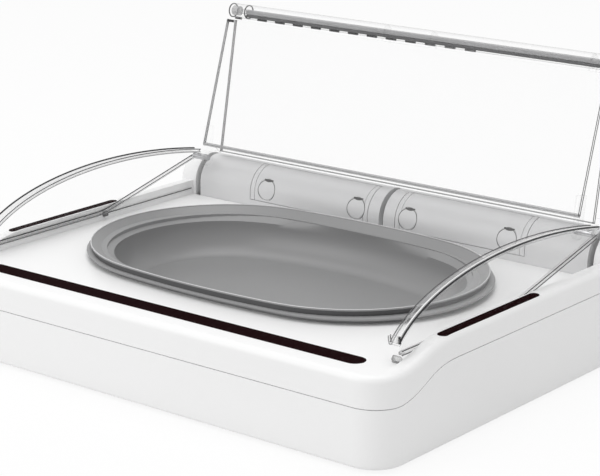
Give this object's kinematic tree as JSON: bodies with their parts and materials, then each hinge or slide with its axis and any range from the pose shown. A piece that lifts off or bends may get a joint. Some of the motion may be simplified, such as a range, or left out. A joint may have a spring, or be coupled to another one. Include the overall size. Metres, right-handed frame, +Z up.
{
  "type": "motion sensor pet bowl",
  "caption": "Shallow pet feeder base with a lift-out bowl, clear side guards and a folding clear lid that a sensor opens.",
  "frame": {"origin": "centre of the base's footprint, on the surface that it stands on", "axes": "+X to the right seen from the animal's side, +Y to the back where the lid stands, +Z up"},
  "size_m": [0.32, 0.262, 0.1721],
  "materials": {
    "white_plastic": "satin moulded",
    "clear_plastic": "clear moulded",
    "grey_bowl": "satin moulded",
    "grey_mat": "soft matt",
    "dark_window": "polished, dark red",
    "black_rubber": "matt",
    "steel": "plain",
    "gear_plastic": "plain acetal",
    "board": "plain",
    "emitter": "plain",
    "cell": "wrapped, plain",
    "grey_button": "satin moulded"
  },
  "bodies": {
    "base": {"lower_casing": "white_plastic", "upper_casing": "white_plastic", "hinge_tube": "white_plastic", "rubber_feet": "black_rubber", "casing_screws": "steel", "left_guard": "clear_plastic", "right_guard": "clear_plastic", "front_sensor_window": "dark_window", "left_sensor_window": "dark_window", "right_sensor_window": "dark_window", "front_sensor_board": "board", "left_sensor_board": "board", "right_sensor_board": "board", "sensor_emitters": "emitter", "main_board": "board", "button_board": "board", "battery_contacts": "steel", "pivot_pins": "steel", "left_cell_1": "cell", "left_cell_2": "cell", "right_cell_1": "cell", "right_cell_2": "cell", "motor_bracket": "steel", "gear_motor": "steel", "idler_axle": "steel", "bowl_mat": "grey_mat"},
    "lid_rear": {"lid_rear_panel": "clear_plastic", "lid_hinge_pins": "steel", "drive_shaft": "steel", "output_gear": "gear_plastic"},
    "lid_front": {"lid_front_panel": "clear_plastic", "guide_pins": "steel"},
    "idler": {"idler_gear": "gear_plastic"},
    "pinion": {"motor_pinion": "gear_plastic"},
    "bowl": {"bowl": "grey_bowl"},
    "left_door": {"left_battery_door": "white_plastic"},
    "right_door": {"right_battery_door": "white_plastic"},
    "left_inner_catch": {"left_inner_catch": "white_plastic"},
    "left_outer_catch": {"left_outer_catch": "white_plastic"},
    "right_inner_catch": {"right_inner_catch": "white_plastic"},
    "right_outer_catch": {"right_outer_catch": "white_plastic"},
    "open_button": {"open_button": "grey_button"},
    "mode_button": {"mode_button": "grey_button"}
  },
  "joints": [
    {"name": "lid_open", "type": "hinge", "parent": "base", "child": "lid_rear", "pos_m": [0, 0.0985, 0.0585], "axis": [-1, 0, 0], "range_deg": [-84.15, 0]},
    {"name": "lid_fold", "type": "hinge", "parent": "lid_rear", "child": "lid_front", "pos_m": [0, 0.10996, 0.1675], "axis": [-1, 0, 0], "range_deg": [0, 142.6]},
    {"name": "idler_turn", "type": "hinge", "parent": "base", "child": "idler", "pos_m": [0.131, 0.0985, 0.0365], "axis": [-1, 0, 0], "range_deg": [0, 101.1]},
    {"name": "pinion_turn", "type": "hinge", "parent": "base", "child": "pinion", "pos_m": [0.131, 0.0985, 0.0205], "axis": [-1, 0, 0], "range_deg": [-168.4, 0]},
    {"name": "bowl_lift", "type": "slide", "parent": "base", "child": "bowl", "axis": [0, 0, 1], "range_m": [0, 0.12]},
    {"name": "left_door_pull", "type": "slide", "parent": "base", "child": "left_door", "axis": [0, -0.9703, 0.2419], "range_m": [0, 0.23]},
    {"name": "left_inner_press", "type": "slide", "parent": "left_door", "child": "left_inner_catch", "axis": [0, 0.9622, -0.2723], "range_m": [0, 0.001], "stiffness_N_per_m": 1500},
    {"name": "left_outer_press", "type": "slide", "parent": "left_door", "child": "left_outer_catch", "axis": [0, 0.9622, -0.2723], "range_m": [0, 0.001], "stiffness_N_per_m": 1500},
    {"name": "right_door_pull", "type": "slide", "parent": "base", "child": "right_door", "axis": [0, -0.9703, 0.2419], "range_m": [0, 0.23]},
    {"name": "right_inner_press", "type": "slide", "parent": "right_door", "child": "right_inner_catch", "axis": [0, 0.9622, -0.2723], "range_m": [0, 0.001], "stiffness_N_per_m": 1500},
    {"name": "right_outer_press", "type": "slide", "parent": "right_door", "child": "right_outer_catch", "axis": [0, 0.9622, -0.2723], "range_m": [0, 0.001], "stiffness_N_per_m": 1500},
    {"name": "open_button_press", "type": "slide", "parent": "base", "child": "open_button", "axis": [0, 0, -1], "range_m": [0, 0.0012], "stiffness_N_per_m": 1500},
    {"name": "mode_button_press", "type": "slide", "parent": "base", "child": "mode_button", "axis": [0, 0, -1], "range_m": [0, 0.0012], "stiffness_N_per_m": 1500}
  ],
  "couplings": [
    {"joint": "lid_fold", "follows": "lid_open", "ratio": -1.6935},
    {"joint": "idler_turn", "follows": "lid_open", "ratio": -1.2},
    {"joint": "pinion_turn", "follows": "lid_open", "ratio": 2}
  ]
}
